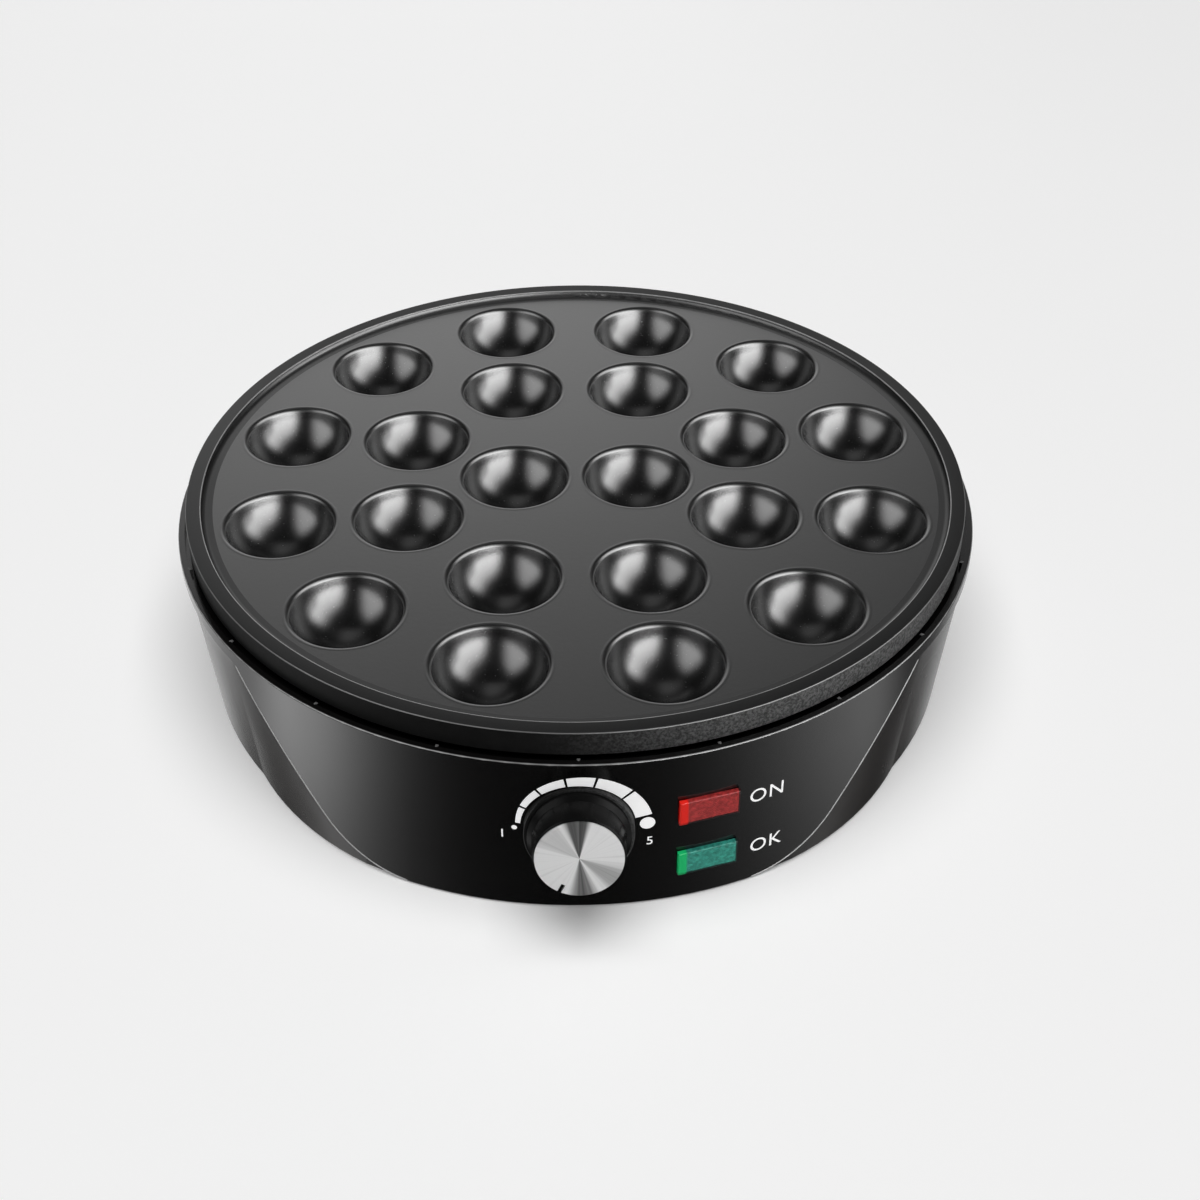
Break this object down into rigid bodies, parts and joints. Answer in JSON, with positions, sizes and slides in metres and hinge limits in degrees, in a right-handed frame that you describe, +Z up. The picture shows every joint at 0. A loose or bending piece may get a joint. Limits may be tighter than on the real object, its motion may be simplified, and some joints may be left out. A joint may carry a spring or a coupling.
{
  "type": "takoyaki maker",
  "caption": "Electric takoyaki maker: round black body with a cast plate of 22 round cups, a thermostat knob and two signal lamps on the front.",
  "frame": {"origin": "middle of the whole object, on the counter", "axes": "+Z up, -Y the front with the knob, +X to the right as the user sees it"},
  "size_m": [0.305, 0.3254, 0.0762],
  "materials": {
    "plate_coating": "die-cast aluminium with a satin black non-stick coating",
    "body_plastic": "black heat-resistant moulding, softly polished",
    "knob_plastic": "black phenolic moulding",
    "knob_disc": "spun-brushed disc",
    "red_lens": "translucent red lens",
    "green_lens": "translucent green lens",
    "lamp_holder_plastic": "black sleeve",
    "bulb_glass": "clear glass",
    "steel": "zinc-plated steel",
    "element_steel": "steel sheath darkened by heat",
    "pan_steel": "bright aluminised sheet",
    "ceramic": "unglazed ceramic",
    "cover_plastic": "black matt moulding",
    "foot_rubber": "black rubber",
    "bushing_plastic": "black nylon",
    "terminal_plastic": "off-white nylon",
    "brass": "plain brass",
    "lead_insulation": "silicone insulation"
  },
  "bodies": {
    "root": {"cooking_plate": "plate_coating", "inner_cups": "plate_coating", "middle_cups": "plate_coating", "outer_cups": "plate_coating", "heating_element": "element_steel", "element_seal_left": "ceramic", "element_seal_right": "ceramic", "element_terminal_left": "steel", "element_terminal_right": "steel", "heat_reflector": "pan_steel", "plate_spacer_1": "ceramic", "plate_spacer_2": "ceramic", "plate_spacer_3": "ceramic", "plate_spacer_4": "ceramic", "plate_spacer_5": "ceramic", "plate_spacer_6": "ceramic", "plate_screws": "steel", "body_shell": "body_plastic", "thermostat_body": "ceramic", "thermostat_nut": "steel", "thermostat_bracket": "steel", "bracket_screws": "steel", "power_lamp_lens": "red_lens", "power_lamp_holder": "lamp_holder_plastic", "power_lamp_bulb": "bulb_glass", "ready_lamp_lens": "green_lens", "ready_lamp_holder": "lamp_holder_plastic", "ready_lamp_bulb": "bulb_glass", "base_cover": "cover_plastic", "front_left_foot": "foot_rubber", "front_right_foot": "foot_rubber", "rear_left_foot": "foot_rubber", "rear_right_foot": "foot_rubber", "cover_screws": "steel", "cord_bushing": "bushing_plastic", "terminal_block": "terminal_plastic", "terminal_screws": "brass", "thermal_fuse": "terminal_plastic", "fuse_clip": "steel", "line_lead": "lead_insulation", "switched_lead": "lead_insulation", "neutral_lead": "lead_insulation", "fused_lead": "lead_insulation"},
    "knob": {"control_knob": "knob_plastic", "knob_face": "knob_disc", "thermostat_shaft": "steel"}
  },
  "joints": [
    {"name": "knob_turn", "type": "hinge", "parent": "root", "child": "knob", "pos_m": [0, -0.1443, 0.0375], "axis": [0, 0.9877, -0.1564], "range_deg": [0, 241]}
  ]
}
